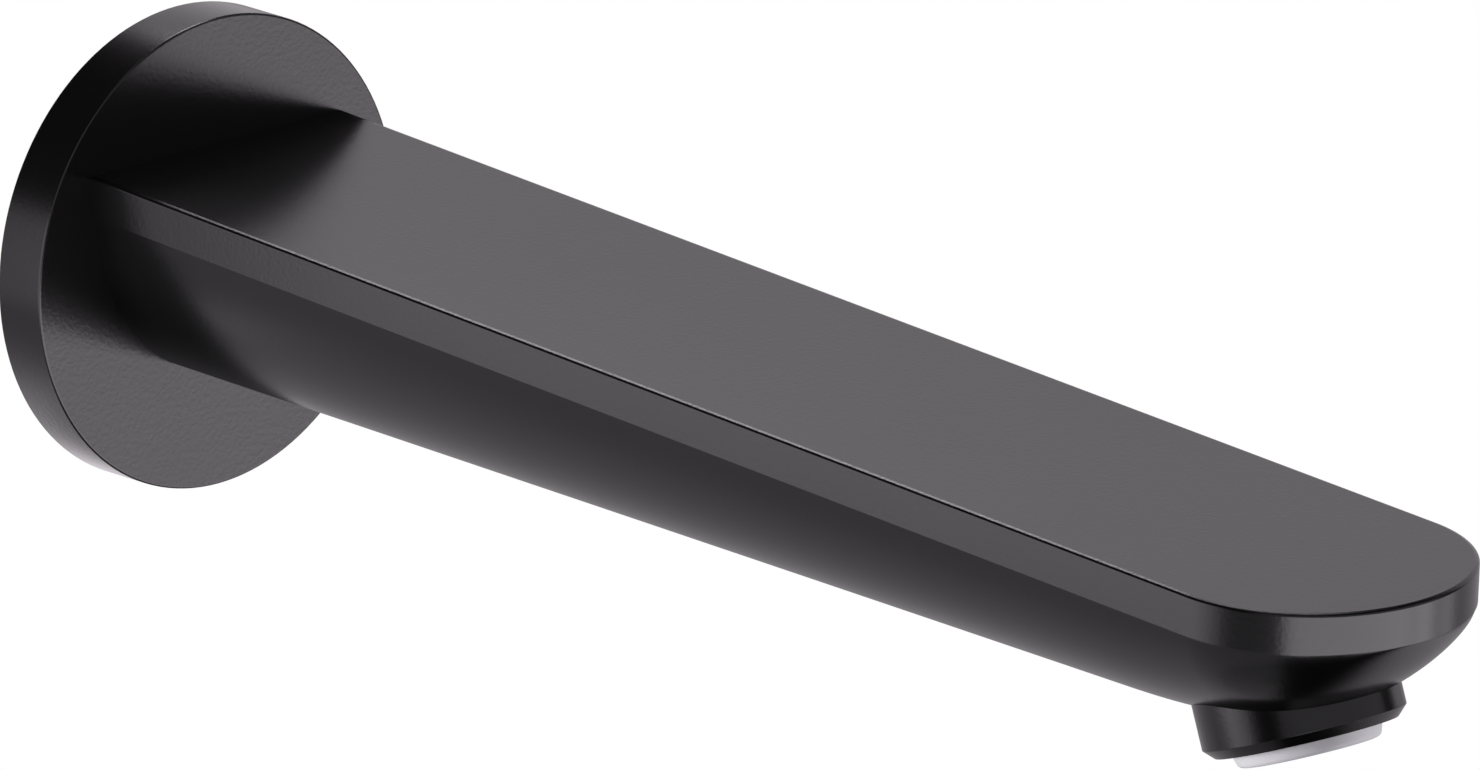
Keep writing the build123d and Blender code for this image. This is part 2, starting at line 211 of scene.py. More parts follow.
def finish_material(name, colour, gloss, drift, grain_size, depth, other=None, **shader_values):
    """A Principled material whose roughness and bump come from the surface grain. Another
    colour, where one is given, shows in soft patches."""
    material = bpy.data.materials.new(name)
    material.use_nodes = True
    tree = material.node_tree
    shader = tree.nodes["Principled BSDF"]
    shader.inputs["Base Color"].default_value = (*colour, 1)
    for key, value in shader_values.items():
        shader.inputs[key.replace("_", " ")].default_value = value
    texture = tree.nodes.new("ShaderNodeGroup")
    texture.node_tree = grain
    for key, value in (("Grain Size", grain_size), ("Gloss", gloss), ("Drift", drift)):
        texture.inputs[key].default_value = value
    if other:
        patches = put(tree, "ShaderNodeMix", {
            0: texture.outputs["Tone"], 6: (*colour, 1), 7: (*other, 1)}, data_type="RGBA")
        tree.links.new(patches.outputs[2], shader.inputs["Base Color"])
    bump = put(tree, "ShaderNodeBump", {"Height": texture.outputs["Height"], "Distance": depth})
    tree.links.new(texture.outputs["Roughness"], shader.inputs["Roughness"])
    tree.links.new(bump.outputs["Normal"], shader.inputs["Normal"])
    return material


black = finish_material("black_coating", (0.0012, 0.0011, 0.0012), 0.23, 0.05, 0.0006, 0.000015)

# The hull is lofted from elliptical sections, straight along most of its length and then
# along the keel's curve up to the nose. Its first and last column stand inside the deck slab.
KEEL_POINTS = 400
hull_sizes = {
    "Straight Stations": ("Int", 30),
    "Bow Stations": ("Int", 110),
    "Points Around": ("Int", 99),
    "Half Width": ("Float", HALF_WIDTH - CREASE_LEDGE),
    "Reach": ("Float", REACH - CREASE_LEDGE),
    "Nose Length": ("Float", NOSE_LENGTH - CREASE_LEDGE),
    "Bow Start": ("Float", REACH - BOW_LENGTH),
    "Depth at Wall": ("Float", WALL_DEPTH),
    "Depth at Bow": ("Float", BOW_DEPTH),
    "Rear Handle": ("Float", BOW_REAR_HANDLE),
    "Front Handle": ("Float", BOW_FRONT_HANDLE),
    "Bow Angle": ("Float", BOW_ANGLE),
    "Crease Angle": ("Float", CREASE_ANGLE),
    "Band Height": ("Float", BAND_HEIGHT),
    "Deck Height": ("Float", DECK_HEIGHT),
    "Deck Fall": ("Float", DECK_FALL),
}
hull_tree, size = form_tree("hull_form", hull_sizes)
hull_calc = partial(calc, hull_tree)
rows = hull_calc("ADD", hull_calc("ADD", size["Straight Stations"], size["Bow Stations"]), 1.0)
around = size["Points Around"]
grid = put(hull_tree, "GeometryNodeMeshGrid", {"Vertices X": rows, "Vertices Y": around})
index = hull_tree.nodes.new("GeometryNodeInputIndex").outputs[0]
row = hull_calc("FLOOR", hull_calc("DIVIDE", hull_calc("ADD", index, 0.5), around))
column = hull_calc("SUBTRACT", index, hull_calc("MULTIPLY", row, around))

slope = hull_calc(
    "DIVIDE",
    hull_calc("SUBTRACT", size["Depth at Bow"], size["Depth at Wall"]),
    size["Bow Start"],
)
straight = hull_calc("DIVIDE", row, size["Straight Stations"], use_clamp=True)
straight_distance = hull_calc("MULTIPLY", straight, size["Bow Start"])
straight_depth = hull_calc("MULTIPLY_ADD", straight_distance, slope, size["Depth at Wall"])
past = hull_calc("SUBTRACT", row, size["Straight Stations"])
share = hull_calc("DIVIDE", past, size["Bow Stations"], use_clamp=True)
rounded = hull_calc("SINE", hull_calc("MULTIPLY", share, pi / 2))
bow_first = put(hull_tree, "ShaderNodeCombineXYZ", {0: size["Bow Start"], 1: size["Depth at Bow"]})
bow_second = put(hull_tree, "ShaderNodeCombineXYZ", {
    0: hull_calc("ADD", size["Bow Start"], size["Rear Handle"]),
    1: hull_calc("MULTIPLY_ADD", size["Rear Handle"], slope, size["Depth at Bow"]),
})
back_by = hull_calc("MULTIPLY", size["Front Handle"], hull_calc("COSINE", size["Bow Angle"]))
bow_third = put(hull_tree, "ShaderNodeCombineXYZ", {
    0: hull_calc("SUBTRACT", hull_calc("ADD", size["Reach"], CREASE_LEDGE), back_by),
    1: hull_calc("MULTIPLY", size["Front Handle"], hull_calc("SINE", size["Bow Angle"])),
})
bow_last = put(hull_tree, "ShaderNodeCombineXYZ", {0: size["Reach"]})
keel = put(hull_tree, "GeometryNodeCurvePrimitiveBezierSegment", {
    "Resolution": KEEL_POINTS,
    "Start": bow_first.outputs[0],
    "Start Handle": bow_second.outputs[0],
    "End Handle": bow_third.outputs[0],
    "End": bow_last.outputs[0],
}, mode="POSITION")
along = put(hull_tree, "GeometryNodeSampleCurve", {
    "Curves": keel.outputs[0],
    "Factor": rounded,
}, mode="FACTOR")
bow_point = put(hull_tree, "ShaderNodeSeparateXYZ", {0: along.outputs["Position"]})
in_bow = hull_calc("GREATER_THAN", past, 0.0)


def either(tree, choice, low, high):
    """Low where the choice is 0, high where it is 1."""
    return put(tree, "ShaderNodeMix", {0: choice, 2: low, 3: high}).outputs[0]


distance = either(hull_tree, in_bow, straight_distance, bow_point.outputs["X"])
depth = either(hull_tree, in_bow, straight_depth, bow_point.outputs["Y"])
nose_start = hull_calc("SUBTRACT", size["Reach"], size["Nose Length"])
into_nose = hull_calc(
    "DIVIDE",
    hull_calc("SUBTRACT", distance, nose_start),
    size["Nose Length"],
    use_clamp=True,
)
inset = hull_calc("MULTIPLY", into_nose, into_nose)
narrowed = hull_calc("SQRT", hull_calc("SUBTRACT", 1.0, inset))
width = hull_calc("MULTIPLY", size["Half Width"], narrowed)
lean_sine = hull_calc("SINE", size["Crease Angle"])
radius_x = hull_calc("DIVIDE", width, hull_calc("COSINE", size["Crease Angle"]))
radius_z = hull_calc("DIVIDE", depth, hull_calc("SUBTRACT", 1.0, lean_sine))
sweep = hull_calc("MULTIPLY_ADD", size["Crease Angle"], -2.0, pi)
steps_around = hull_calc("SUBTRACT", around, 3.0)
step = hull_calc("DIVIDE", hull_calc("SUBTRACT", column, 1.0), steps_around)
angle = hull_calc("MULTIPLY_ADD", step, sweep, hull_calc("ADD", size["Crease Angle"], pi))
arc_x = hull_calc("MULTIPLY", radius_x, hull_calc("COSINE", angle))
arc_z = hull_calc(
    "SUBTRACT",
    hull_calc("MULTIPLY", radius_z, hull_calc("ADD", hull_calc("SINE", angle), lean_sine)),
    size["Band Height"],
)
first = hull_calc("LESS_THAN", column, 0.5)
last = hull_calc("GREATER_THAN", column, hull_calc("SUBTRACT", around, 1.5))
on_top = hull_calc("ADD", first, last)
top_x = hull_calc("MULTIPLY", hull_calc("SUBTRACT", last, first), width)
top_z = hull_calc("MULTIPLY", size["Band Height"], -0.5)
spot = put(hull_tree, "ShaderNodeCombineXYZ", {
    0: either(hull_tree, on_top, arc_x, top_x),
    1: hull_calc("MULTIPLY", distance, -1.0),
    2: either(hull_tree, on_top, arc_z, top_z),
})
shaped = put(hull_tree, "GeometryNodeSetPosition", {
    0: grid.outputs["Mesh"], "Position": spot.outputs[0]})
tilt = put(hull_tree, "ShaderNodeCombineXYZ", {0: size["Deck Fall"]})
lift = put(hull_tree, "ShaderNodeCombineXYZ", {2: size["Deck Height"]})
placed = put(hull_tree, "GeometryNodeTransform", {
    0: shaped.outputs[0],
    "Translation": lift.outputs[0],
    "Rotation": tilt.outputs[0],
})
close_tree(hull_tree, placed.outputs[0], black)
hull = grown("hull", hull_tree, hull_sizes)

# Close the hull with a flat top and back, both hidden inside the deck slab and the cut
count = hull_sizes["Points Around"][1]
hull_rows = hull_sizes["Straight Stations"][1] + hull_sizes["Bow Stations"][1] + 1
bm = bmesh.new()
bm.from_mesh(hull.data)
bm.verts.ensure_lookup_table()
left_side = [bm.verts[count * at] for at in range(hull_rows)]
right_side = [bm.verts[count * at + count - 1] for at in range(hull_rows)]
bm.faces.new(left_side + right_side[:0:-1] + [right_side[0]])
bm.faces.new([bm.verts[at] for at in range(count)])
bmesh.ops.remove_doubles(bm, verts=bm.verts, dist=1e-7)
bmesh.ops.recalc_face_normals(bm, faces=bm.faces)
bm.to_mesh(hull.data)
bm.free()

# The deck slab: straight sides and an elliptical nose. Polishing leaves its top edge with a
# narrow sloping facet that rolls over into the upright band.
FACET_SLOPE = radians(17)
FACET_LENGTH = 0.00035
EDGE_ROLL = 0.0004
ROLL_STEPS = 8
SOFT_RUN, SOFT_DROP = 0.93, 0.07
roll_inset = EDGE_ROLL * (1 - sin(FACET_SLOPE))
facet_run = FACET_LENGTH * cos(FACET_SLOPE)
facet_drop = FACET_LENGTH * sin(FACET_SLOPE)
edge_profile = [
    (roll_inset + facet_run, 0.0),
    (roll_inset + SOFT_RUN * facet_run, SOFT_DROP * facet_drop),
]
for at in range(ROLL_STEPS + 1):
    lean = FACET_SLOPE + (pi / 2 - FACET_SLOPE) * at / ROLL_STEPS
    drop = facet_drop + EDGE_ROLL * (cos(FACET_SLOPE) - cos(lean))
    edge_profile.append((EDGE_ROLL * (1 - sin(lean)), drop))
edge_profile.append((0.0, BAND_HEIGHT))
NOSE_STEPS = 160
NOSE_EASE = 0.00001
NOSE_TIP = REACH - NOSE_EASE
outline = [((HALF_WIDTH, 0.0), (1.0, 0.0))]
for at in range(NOSE_STEPS + 1):
    turn = -pi * at / NOSE_STEPS
    point = (HALF_WIDTH * cos(turn), NOSE_LENGTH * sin(turn) - NOSE_TIP + NOSE_LENGTH)
    outward = Vector((cos(turn) / HALF_WIDTH, sin(turn) / NOSE_LENGTH)).normalized()
    outline.append((point, tuple(outward)))
outline.append(((-HALF_WIDTH, 0.0), (-1.0, 0.0)))
bm = bmesh.new()
loops = []
for inset, drop in edge_profile:
    loops.append([
        bm.verts.new((x - inset * side, y - inset * ahead, -drop))
        for (x, y), (side, ahead) in outline
    ])
bm.faces.new(loops[0])
bm.faces.new(loops[-1])
for high, low in zip(loops, loops[1:]):
    for at in range(len(outline)):
        after = (at + 1) % len(outline)
        bm.faces.new((high[at], high[after], low[after], low[at]))
slab = mesh_object("slab", bm, deck_frame)

# The outlet boss, with its chamfered mouth and the threaded seat for the aerator. The smallest
# steps in its profile break the chamfer's two corners.
BOSS_RADIUS = 0.01365
BOSS_TOP = 0.0155
BOSS_CHAMFER = 0.00135
boss = turned("boss", [
    (0, BOSS_TOP), (BOSS_RADIUS, BOSS_TOP), (BOSS_RADIUS, BOSS_CHAMFER + 0.0001),
    (BOSS_RADIUS - 0.00003, BOSS_CHAMFER), (BOSS_RADIUS - BOSS_CHAMFER, 0.00004),
    (BOSS_RADIUS - BOSS_CHAMFER - 0.00008, 0), (0, 0),
], mouth_frame, 192)
SEAT_RADIUS, SEAT_DEPTH = 0.012, 0.0109
THROAT_RADIUS, THROAT_DEPTH = 0.009, 0.0169
SEAT_START = -0.001
seat = turned("seat", [
    (0, SEAT_START), (SEAT_RADIUS, SEAT_START), (SEAT_RADIUS, SEAT_DEPTH),
    (THROAT_RADIUS, SEAT_DEPTH), (THROAT_RADIUS, THROAT_DEPTH), (0, THROAT_DEPTH),
], mouth_frame)
# The neck stands out of the body's back into the flange, with a groove for its O-ring. The
# socket takes the nipple, and the set screw's hole meets it from below.
NECK_RADIUS = 0.015
NECK_START, NECK_END = 0.0043, 0.012
NECK_LEAD = 0.0046, 0.0003
NECK_GROOVE = 0.005325, 0.007175
NECK_GROOVE_RADIUS = 0.0135
neck = turned("neck", [
    (0, NECK_START), (NECK_RADIUS - NECK_LEAD[1], NECK_START), (NECK_RADIUS, NECK_LEAD[0]),
    (NECK_RADIUS, NECK_GROOVE[0]), (NECK_GROOVE_RADIUS, NECK_GROOVE[0]),
    (NECK_GROOVE_RADIUS, NECK_GROOVE[1]), (NECK_RADIUS, NECK_GROOVE[1]),
    (NECK_RADIUS, NECK_END), (0, NECK_END),
], wall_frame)
SOCKET_RADIUS = 0.01005
SOCKET_START, SOCKET_END = 0.003, 0.0323
socket = turned("socket", [
    (0, SOCKET_START), (SOCKET_RADIUS, SOCKET_START), (SOCKET_RADIUS, SOCKET_END), (0, SOCKET_END),
], wall_frame)
SCREW_DISTANCE = 0.017
SCREW_HOLE_RADIUS = 0.0025
SCREW_HOLE_START, SCREW_HOLE_END = 0.00905, 0.03
screw_frame = Matrix.Translation((0, -SCREW_DISTANCE, 0)) @ Matrix.Rotation(pi, 4, "X")
screw_hole = turned("screw_hole", [
    (0, SCREW_HOLE_START), (SCREW_HOLE_RADIUS, SCREW_HOLE_START),
    (SCREW_HOLE_RADIUS, SCREW_HOLE_END), (0, SCREW_HOLE_END),
], screw_frame, 48)
CUT_SIZE = 0.1
bm = bmesh.new()
cut_place = Matrix.Translation((0, CUT_SIZE / 2 - FLANGE_DEPTH, 0))
bmesh.ops.create_cube(bm, size=CUT_SIZE, matrix=cut_place)
wall_side = mesh_object("wall_side", bm)

body = machined("body_casting", hull, (
    ("UNION", slab), ("UNION", boss), ("DIFFERENCE", wall_side), ("UNION", neck),
    ("DIFFERENCE", socket), ("DIFFERENCE", screw_hole), ("DIFFERENCE", seat),
), 25)
give_finish(body, black)
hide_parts("spout_body")
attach(body, "root")

# Wall flange: a brass cup, turned from bar and coated with the body, which slips over the
# neck and hides the hole in the wall. A rubber O-ring in the neck holds it.
give_finish(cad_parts["wall_flange"], black)

# Seals: black rubber rings, moulded, with a dull surface. One lies in the flange's back, one in
# the neck, two on the nipple's plug, and two belong to the aerator.
rubber = finish_material("seal_rubber", (0.018, 0.018, 0.018), 0.6, 0.1, 0.0003, 0.00001)
for ring in ("flange_seal", "neck_o_ring", "nipple_o_ring_inner", "nipple_o_ring_outer",
             "regulator_o_ring", "aerator_gasket"):
    give_finish(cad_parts[ring], rubber)

# Connection nipple: turned from brass bar and left bare, with a G 1/2 thread cut for the wall
# fitting, a shoulder, and a plug with two O-ring grooves and a groove for the set screw. A
# hexagon broached in its end takes the key that screws it into the wall.
TOOL_MARKS_SCALE = 1400.0
TOOL_MARK_DEPTH = 0.000006
brass = finish_material(
    "turned_brass", (0.62, 0.43, 0.17), 0.3, 0.12, 0.0004, 0.000004, (0.5, 0.32, 0.12), Metallic=1.0
)
tree = brass.node_tree
where = tree.nodes.new("ShaderNodeTexCoord").outputs["Object"]
tool_marks = put(tree, "ShaderNodeTexWave", {
    "Vector": where,
    "Scale": TOOL_MARKS_SCALE,
    "Distortion": 0.4,
    "Detail": 2.0,
}, bands_direction="Y")
turning = put(tree, "ShaderNodeBump", {
    "Height": tool_marks.outputs["Fac"],
    "Distance": TOOL_MARK_DEPTH,
    "Normal": tree.nodes["Bump"].outputs["Normal"],
})
tree.links.new(turning.outputs["Normal"], tree.nodes["Principled BSDF"].inputs["Normal"])

# The thread is a grid wound into a tube, whose radius rises and falls once in each pitch. Its
# first and last row close it at the axis.
THREAD_LENGTH = 0.013
THREAD_FLATS = 0.08, 0.92
UNDERCUT_RADIUS = 0.00995
thread_sizes = {
    "Rows": ("Int", 136),
    "Points Around": ("Int", 129),
    "Start": ("Float", -THREAD_LENGTH),
    "End": ("Float", 0.0003),
    "Crest Radius": ("Float", 0.01045),
    "Root Radius": ("Float", 0.00932),
    "Pitch": ("Float", 0.001814),
    "Lead": ("Float", 0.001),
    "Run-out Radius": ("Float", UNDERCUT_RADIUS - 0.00005),
}
thread_tree, size = form_tree("pipe_thread", thread_sizes)
thread_calc = partial(calc, thread_tree)
around = size["Points Around"]
grid = put(thread_tree, "GeometryNodeMeshGrid", {"Vertices X": size["Rows"], "Vertices Y": around})
index = thread_tree.nodes.new("GeometryNodeInputIndex").outputs[0]
row = thread_calc("FLOOR", thread_calc(
    "DIVIDE", thread_calc("ADD", index, 0.5), around))
column = thread_calc("SUBTRACT", index, thread_calc("MULTIPLY", row, around))
last_row = thread_calc("SUBTRACT", size["Rows"], 1.0)
turn = thread_calc("DIVIDE", column, thread_calc("SUBTRACT", around, 1.0))
rise = thread_calc(
    "DIVIDE",
    thread_calc("SUBTRACT", row, 1.0),
    thread_calc("SUBTRACT", last_row, 2.0),
    use_clamp=True,
)
height = thread_calc(
    "MULTIPLY_ADD", rise, thread_calc("SUBTRACT", size["End"], size["Start"]), size["Start"])
phase = thread_calc("FRACT", thread_calc(
    "SUBTRACT", thread_calc("DIVIDE", height, size["Pitch"]), turn))
flank = thread_calc("ABSOLUTE", thread_calc("MULTIPLY_ADD", phase, 2.0, -1.0))
cut = put(thread_tree, "ShaderNodeMapRange", {
    "Value": flank,
    "From Min": THREAD_FLATS[0],
    "From Max": THREAD_FLATS[1],
    "To Min": size["Root Radius"],
    "To Max": size["Crest Radius"],
}, interpolation_type="SMOOTHSTEP")
lead_in = thread_calc("SUBTRACT", size["Crest Radius"], thread_calc(
    "SUBTRACT", size["Lead"], thread_calc("SUBTRACT", height, size["Start"])))
run_out = thread_calc("SUBTRACT", size["Run-out Radius"], height)
radius = thread_calc("MINIMUM", cut.outputs[0], thread_calc("MINIMUM", lead_in, run_out))
first = thread_calc("GREATER_THAN", row, 0.5)
last = thread_calc("LESS_THAN", row, thread_calc("SUBTRACT", last_row, 0.5))
radius = thread_calc("MULTIPLY", radius, thread_calc("MULTIPLY", first, last))
angle = thread_calc("MULTIPLY", turn, 2 * pi)
spot = put(thread_tree, "ShaderNodeCombineXYZ", {
    0: thread_calc("MULTIPLY", radius, thread_calc("COSINE", angle)),
    1: thread_calc("MULTIPLY", radius, thread_calc("SINE", angle)),
    2: height,
})
shaped = put(thread_tree, "GeometryNodeSetPosition", {
    0: grid.outputs["Mesh"], "Position": spot.outputs[0]})
closed = put(thread_tree, "GeometryNodeMergeByDistance", {0: shaped.outputs[0], "Distance": 1e-6})
close_tree(thread_tree, closed.outputs[0], brass)
nipple = grown("nipple", thread_tree, thread_sizes)
nipple.data.transform(wall_frame)
bm = bmesh.new()
bm.from_mesh(nipple.data)
bmesh.ops.recalc_face_normals(bm, faces=bm.faces)
bm.to_mesh(nipple.data)
bm.free()

PLUG_RADIUS = 0.01
PLUG_END = 0.029
SHOULDER = (0.0015, 0.004)
SHOULDER_RADIUS = 0.0125
SHOULDER_BREAK = 0.0002
PLUG_LEAD = 0.0008
SCREW_GROOVE_TOP, SCREW_GROOVE_FLOOR = 0.0025, 0.0015
SCREW_GROOVE_DEPTH = 0.001
plug_profile = [
    (0, 0), (UNDERCUT_RADIUS, 0), (UNDERCUT_RADIUS, SHOULDER[0]),
    (SHOULDER_RADIUS - SHOULDER_BREAK, SHOULDER[0]), (SHOULDER_RADIUS, SHOULDER[0] + SHOULDER_BREAK),
    (SHOULDER_RADIUS, SHOULDER[1] - SHOULDER_BREAK), (SHOULDER_RADIUS - SHOULDER_BREAK, SHOULDER[1]),
    (PLUG_RADIUS, SHOULDER[1]),
    (PLUG_RADIUS, SCREW_DISTANCE - SCREW_GROOVE_TOP),
    (PLUG_RADIUS - SCREW_GROOVE_DEPTH, SCREW_DISTANCE - SCREW_GROOVE_FLOOR),
    (PLUG_RADIUS - SCREW_GROOVE_DEPTH, SCREW_DISTANCE + SCREW_GROOVE_FLOOR),
    (PLUG_RADIUS, SCREW_DISTANCE + SCREW_GROOVE_TOP),
]
RING_GROOVE_WIDTH = 0.0019
RING_GROOVE_RADIUS = 0.00835
RING_GROOVES = 0.0225, 0.0265
for groove in RING_GROOVES:
    low, high = groove - RING_GROOVE_WIDTH / 2, groove + RING_GROOVE_WIDTH / 2
    plug_profile += [
        (PLUG_RADIUS, low), (RING_GROOVE_RADIUS, low), (RING_GROOVE_RADIUS, high), (PLUG_RADIUS, high),
    ]
plug_profile += [(PLUG_RADIUS, PLUG_END - PLUG_LEAD), (PLUG_RADIUS - PLUG_LEAD, PLUG_END), (0, PLUG_END)]
plug = turned("plug", plug_profile, wall_frame)
WATERWAY_RADIUS = 0.00575
DRILL_START, DRILL_END = -0.02, 0.04
waterway = turned("waterway", [
    (0, DRILL_START), (WATERWAY_RADIUS, DRILL_START), (WATERWAY_RADIUS, DRILL_END), (0, DRILL_END),
], wall_frame, 96)
HEXAGON_ACROSS = 0.012
HEXAGON_DEPTH = 0.01
corner = HEXAGON_ACROSS / 2 / cos(pi / 6)
key_hole = turned("key_hole", [
    (0, PLUG_END - HEXAGON_DEPTH), (corner, PLUG_END - HEXAGON_DEPTH),
    (corner, DRILL_END), (0, DRILL_END),
], wall_frame, 6)
nipple = machined("nipple_turned", nipple, (
    ("UNION", plug), ("DIFFERENCE", waterway), ("DIFFERENCE", key_hole),
), 30)
give_finish(nipple, brass)
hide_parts("connection_nipple")
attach(nipple, "root")

# Seal ring: a washer stamped from pressed red fibre board. The nipple's shoulder squeezes it
# against the wall fitting.
fibre = finish_material(
    "fibre_washer", (0.2, 0.035, 0.02), 0.75, 0.1, 0.0005, 0.00003, (0.13, 0.02, 0.012))
give_finish(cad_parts["nipple_seal_ring"], fibre)

# Set screw: a stainless M5 grub screw with a hexagon socket. It stands in the body's underside
# and bites into the nipple's groove.
steel = finish_material(
    "stainless_steel", (0.45, 0.45, 0.46), 0.32, 0.12, 0.0004, 0.000005, (0.36, 0.36, 0.37),
    Metallic=1.0)
give_finish(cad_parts["set_screw"], steel)

# Aerator: a cartridge of moulded plastic pieces stacked in a shell that screws into the boss.
# Its pale skirt shows below the boss, with the honeycomb outlet recessed inside it.
pale = finish_material(
    "pale_plastic", (0.33, 0.33, 0.345), 0.35, 0.1, 0.0006, 0.000005, Specular_IOR_Level=0.2)
give_finish(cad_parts["aerator_shell"], pale)
grid_grey = finish_material("grid_plastic", (0.2, 0.205, 0.215), 0.4, 0.1, 0.0005, 0.000005)
for piece in ("outlet_grid", "screen_spacer", "jet_splitter", "flow_regulator", "aerator_sieve"):
    give_finish(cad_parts[piece], grid_grey)

# Screens: two discs punched from woven stainless mesh, clamped between the plastic pieces,
# that break the water up before the honeycomb straightens it.
screen_sizes = {
    "Wires": ("Int", 27),
    "Points": ("Int", 100),
    "Spacing": ("Float", 0.00072),
    "Screen Radius": ("Float", 0.0101),
    "Wire Radius": ("Float", 0.00009),
}
screen_tree, size = form_tree("woven_screen", screen_sizes)
screen_calc = partial(calc, screen_tree)
half_count = screen_calc("MULTIPLY", screen_calc("SUBTRACT", size["Wires"], 1.0), 0.5)
outermost = screen_calc("MULTIPLY", screen_calc("MULTIPLY", half_count, size["Spacing"]), -1.0)
spots = put(screen_tree, "GeometryNodeMeshLine", {
    "Count": size["Wires"],
    "Start Location": put(screen_tree, "ShaderNodeCombineXYZ", {0: outermost}).outputs[0],
    "Offset": put(screen_tree, "ShaderNodeCombineXYZ", {0: size["Spacing"]}).outputs[0],
})
straight_wire = put(screen_tree, "GeometryNodeCurvePrimitiveLine", {
    "Start": (0, -1, 0), "End": (0, 1, 0)})
fine_wire = put(screen_tree, "GeometryNodeResampleCurve", {
    "Curve": straight_wire.outputs[0], "Count": size["Points"]})
wires = put(screen_tree, "GeometryNodeInstanceOnPoints", {
    "Points": spots.outputs[0], "Instance": fine_wire.outputs[0]})
wires = put(screen_tree, "GeometryNodeRealizeInstances", {0: wires.outputs[0]})
place = put(screen_tree, "ShaderNodeSeparateXYZ", {
    0: screen_tree.nodes.new("GeometryNodeInputPosition").outputs[0]})
chord = screen_calc("SQRT", screen_calc(
    "SUBTRACT",
    screen_calc("MULTIPLY", size["Screen Radius"], size["Screen Radius"]),
    screen_calc("MULTIPLY", place.outputs["X"], place.outputs["X"]),
))
along = screen_calc("MULTIPLY", place.outputs["Y"], chord)
crossings = screen_calc("DIVIDE", screen_calc(
    "ADD", place.outputs["X"], along), size["Spacing"])
over_under = screen_calc("COSINE", screen_calc("MULTIPLY", crossings, pi))
bent = put(screen_tree, "GeometryNodeSetPosition", {
    0: wires.outputs[0],
    "Position": put(screen_tree, "ShaderNodeCombineXYZ", {
        0: place.outputs["X"],
        1: along,
        2: screen_calc("MULTIPLY", over_under, size["Wire Radius"]),
    }).outputs[0],
})
section = put(screen_tree, "GeometryNodeCurvePrimitiveCircle", {
    "Resolution": 5, "Radius": size["Wire Radius"]}, mode="RADIUS")
warp = put(screen_tree, "GeometryNodeCurveToMesh", {
    "Curve": bent.outputs[0], "Profile Curve": section.outputs[0], "Fill Caps": True})
weft = put(screen_tree, "GeometryNodeTransform", {0: warp.outputs[0], "Rotation": (pi, 0, pi / 2)})
woven = screen_tree.nodes.new("GeometryNodeJoinGeometry")
screen_tree.links.new(warp.outputs[0], woven.inputs[0])
screen_tree.links.new(weft.outputs[0], woven.inputs[0])
close_tree(screen_tree, woven.outputs[0], steel)
SCREEN_THICKNESS = 0.0004
for node, floor_height in (("lower_screen", 0.0012), ("upper_screen", 0.0024)):
    mesh_disc = grown(node + "_mesh", screen_tree, screen_sizes)
    middle = Matrix.Translation((0, 0, floor_height + SCREEN_THICKNESS / 2))
    mesh_disc.data.transform(mouth_frame @ middle)
    mesh_disc.data.shade_smooth()
    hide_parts(node)
    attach(mesh_disc, "root")

# A pale floor stands well below the spout, since the real one hangs on a wall. From underneath
# it is clear, and the gloss doesn't see it.
FLOOR_LEVEL = -0.4
FLOOR_RADIUS = 0.75
MIDDLE_REACH = -0.12
bm = bmesh.new()
bmesh.ops.create_circle(bm, cap_ends=True, segments=96, radius=FLOOR_RADIUS)
bmesh.ops.translate(bm, verts=bm.verts, vec=(0, MIDDLE_REACH, FLOOR_LEVEL))
floor_mesh = bpy.data.meshes.new("floor")
bm.to_mesh(floor_mesh)
bm.free()
floor = bpy.data.objects.new("floor", floor_mesh)
bpy.context.scene.collection.objects.link(floor)
paint = bpy.data.materials.new("floor_paint")
paint.use_nodes = True
tree = paint.node_tree
shader = tree.nodes["Principled BSDF"]
shader.inputs["Roughness"].default_value = 0.8
seen = tree.nodes.new("ShaderNodeLightPath").outputs["Is Camera Ray"]
shade = put(tree, "ShaderNodeMix", {
    0: seen, 6: (0.42, 0.42, 0.42, 1), 7: (0.9, 0.9, 0.9, 1)}, data_type="RGBA")
tree.links.new(shade.outputs[2], shader.inputs["Base Color"])
under = tree.nodes.new("ShaderNodeNewGeometry").outputs["Backfacing"]
clear = tree.nodes.new("ShaderNodeBsdfTransparent").outputs[0]
both = put(tree, "ShaderNodeMixShader", {0: under, 1: shader.outputs[0], 2: clear})
tree.links.new(both.outputs[0], tree.nodes["Material Output"].inputs["Surface"])
floor_mesh.materials.append(paint)
floor.visible_glossy = False

# The surround is white to the camera. What the gloss reflects is a studio of soft panels: dim
# ones around and below, bright ones low in front, a narrow one high behind, a dim one overhead,
# and darkness between them.
panel = bpy.data.node_groups.new("soft_panel", "ShaderNodeTree")
for socket in ("Azimuth", "Half Width", "Low", "High", "Softness", "Level", "Others"):
    panel.interface.new_socket(socket, in_out="INPUT", socket_type="NodeSocketFloat")
panel.interface.new_socket("Level", in_out="OUTPUT", socket_type="NodeSocketFloat")
given = panel.nodes.new("NodeGroupInput").outputs
toward = panel.nodes.new("ShaderNodeTexCoord").outputs["Generated"]
flat = put(panel, "ShaderNodeVectorMath", {0: toward, 1: (1, 1, 0)}, operation="MULTIPLY")
flat = put(panel, "ShaderNodeVectorMath", {0: flat.outputs[0]}, operation="NORMALIZE")
facing = put(panel, "ShaderNodeCombineXYZ", {
    0: calc(panel, "MULTIPLY", calc(panel, "COSINE", given["Azimuth"]), -1.0),
    1: calc(panel, "MULTIPLY", calc(panel, "SINE", given["Azimuth"]), -1.0),
})
across = put(panel, "ShaderNodeVectorMath", {
    0: flat.outputs[0], 1: facing.outputs[0]}, operation="DOT_PRODUCT")
sideways = calc(panel, "ARCCOSINE", across.outputs["Value"])
height = calc(panel, "ARCSINE", put(panel, "ShaderNodeSeparateXYZ", {0: toward}).outputs["Z"])


